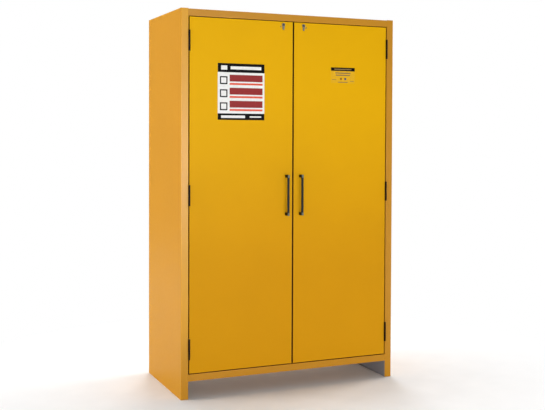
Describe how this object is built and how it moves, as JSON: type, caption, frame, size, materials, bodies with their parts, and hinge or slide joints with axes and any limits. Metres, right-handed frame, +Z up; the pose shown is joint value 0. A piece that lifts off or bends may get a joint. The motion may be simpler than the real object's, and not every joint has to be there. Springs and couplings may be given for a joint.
{
  "type": "safety storage cabinet",
  "caption": "Two-door fire-resistant safety cabinet for flammable liquids: insulated steel carcass, flush hinged doors with bar handles and bolt locks, tray shelves, sump and roof air spigots.",
  "frame": {"origin": "on the floor, under the middle of the whole object's width and depth", "axes": "+X to the right seen from the doors, +Y from the doors to the back, +Z up"},
  "size_m": [1.193, 0.655, 1.996],
  "materials": {
    "frame_paint": "satin",
    "door_paint": "satin",
    "leg_grey": "matte",
    "liner": "satin",
    "mineral_board": "matte",
    "galvanised": "satin",
    "shelf_paint": "satin",
    "seal": "matte",
    "hinge_black": "satin",
    "handle_black": "satin",
    "handle_bar": "satin",
    "handle_cap": "satin",
    "lock_nickel": "satin",
    "foot_steel": "satin"
  },
  "bodies": {
    "carcass": {"left_side_shell": "frame_paint", "right_side_shell": "frame_paint", "top_shell": "frame_paint", "base_shell": "frame_paint", "rear_shell": "galvanised", "leg_plates": "leg_grey", "foot_rails": "galvanised", "side_insulation": "mineral_board", "roof_insulation": "mineral_board", "floor_insulation": "mineral_board", "rear_insulation": "mineral_board", "side_liners": "liner", "rear_liner": "liner", "roof_liner": "liner", "floor_liner": "liner", "frame_seals": "seal", "hinge_frame_leaves": "hinge_black", "hinge_pins": "hinge_black", "bolt_strikes": "galvanised", "shelf_uprights": "galvanised", "shelf_clips": "galvanised", "sump_tray": "shelf_paint", "air_ducts": "shelf_paint", "air_spigots": "galvanised", "earth_stud": "foot_steel"},
    "shelf_1": {"shelf_1": "shelf_paint"},
    "shelf_2": {"shelf_2": "shelf_paint"},
    "shelf_3": {"shelf_3": "shelf_paint"},
    "sump_grid": {"sump_grid": "shelf_paint"},
    "exhaust_flap": {"exhaust_flap": "galvanised"},
    "supply_flap": {"supply_flap": "galvanised"},
    "front_left_foot": {"front_left_foot": "foot_steel"},
    "front_right_foot": {"front_right_foot": "foot_steel"},
    "rear_left_foot": {"rear_left_foot": "foot_steel"},
    "rear_right_foot": {"rear_right_foot": "foot_steel"},
    "left_door": {"left_door_skin": "door_paint", "left_door_core": "mineral_board", "left_door_liner": "liner", "left_meeting_seal": "seal", "left_door_hinges": "hinge_black", "left_handle_posts": "handle_black", "left_handle_caps": "handle_cap", "left_handle_bar": "handle_bar", "left_lock_case": "lock_nickel", "left_lock_cylinder": "lock_nickel"},
    "left_lock": {"left_lock_plug": "lock_nickel"},
    "left_bolt": {"left_lock_bolt": "galvanised"},
    "right_door": {"right_door_skin": "door_paint", "right_door_core": "mineral_board", "right_door_liner": "liner", "right_meeting_seal": "seal", "right_door_hinges": "hinge_black", "right_handle_posts": "handle_black", "right_handle_caps": "handle_cap", "right_handle_bar": "handle_bar", "right_lock_case": "lock_nickel", "right_lock_cylinder": "lock_nickel"},
    "right_lock": {"right_lock_plug": "lock_nickel"},
    "right_bolt": {"right_lock_bolt": "galvanised"}
  },
  "joints": [
    {"name": "left_door_hinge", "type": "hinge", "parent": "carcass", "child": "left_door", "pos_m": [-0.55575, -0.2935, 1.0225], "axis": [0, 0, -1], "range_deg": [0, 110]},
    {"name": "left_lock_turn", "type": "hinge", "parent": "left_door", "child": "left_lock", "pos_m": [-0.0505, -0.2875, 1.896], "axis": [0, -1, 0], "range_deg": [0, 90]},
    {"name": "left_bolt_slide", "type": "slide", "parent": "left_door", "child": "left_bolt", "axis": [0, 0, 1], "range_m": [0, 0.01202]},
    {"name": "right_door_hinge", "type": "hinge", "parent": "carcass", "child": "right_door", "pos_m": [0.55575, -0.2935, 1.0225], "axis": [0, 0, 1], "range_deg": [0, 110]},
    {"name": "right_lock_turn", "type": "hinge", "parent": "right_door", "child": "right_lock", "pos_m": [0.0635, -0.2875, 1.896], "axis": [0, -1, 0], "range_deg": [0, 90]},
    {"name": "right_bolt_slide", "type": "slide", "parent": "right_door", "child": "right_bolt", "axis": [0, 0, 1], "range_m": [0, 0.01202]},
    {"name": "exhaust_flap_turn", "type": "hinge", "parent": "carcass", "child": "exhaust_flap", "pos_m": [-0.15, 0.2475, 1.9185], "axis": [1, 0, 0], "range_deg": [0, 90]},
    {"name": "supply_flap_turn", "type": "hinge", "parent": "carcass", "child": "supply_flap", "pos_m": [0.15, 0.2475, 1.9185], "axis": [1, 0, 0], "range_deg": [0, 90]},
    {"name": "shelf_1_lift", "type": "slide", "parent": "carcass", "child": "shelf_1", "axis": [0, 0, 1], "range_m": [0, 0.03]},
    {"name": "shelf_2_lift", "type": "slide", "parent": "carcass", "child": "shelf_2", "axis": [0, 0, 1], "range_m": [0, 0.03]},
    {"name": "shelf_3_lift", "type": "slide", "parent": "carcass", "child": "shelf_3", "axis": [0, 0, 1], "range_m": [0, 0.03]},
    {"name": "sump_grid_lift", "type": "slide", "parent": "carcass", "child": "sump_grid", "axis": [0, 0, 1], "range_m": [0, 0.07]},
    {"name": "front_left_foot_screw", "type": "slide", "parent": "carcass", "child": "front_left_foot", "axis": [0, 0, -1], "range_m": [0, 0.015]},
    {"name": "front_right_foot_screw", "type": "slide", "parent": "carcass", "child": "front_right_foot", "axis": [0, 0, -1], "range_m": [0, 0.015]},
    {"name": "rear_left_foot_screw", "type": "slide", "parent": "carcass", "child": "rear_left_foot", "axis": [0, 0, -1], "range_m": [0, 0.015]},
    {"name": "rear_right_foot_screw", "type": "slide", "parent": "carcass", "child": "rear_right_foot", "axis": [0, 0, -1], "range_m": [0, 0.015]}
  ],
  "couplings": [
    {"joint": "left_lock_turn", "follows": "left_bolt_slide", "rad_per_m": 130.67},
    {"joint": "right_lock_turn", "follows": "right_bolt_slide", "rad_per_m": 130.67}
  ]
}
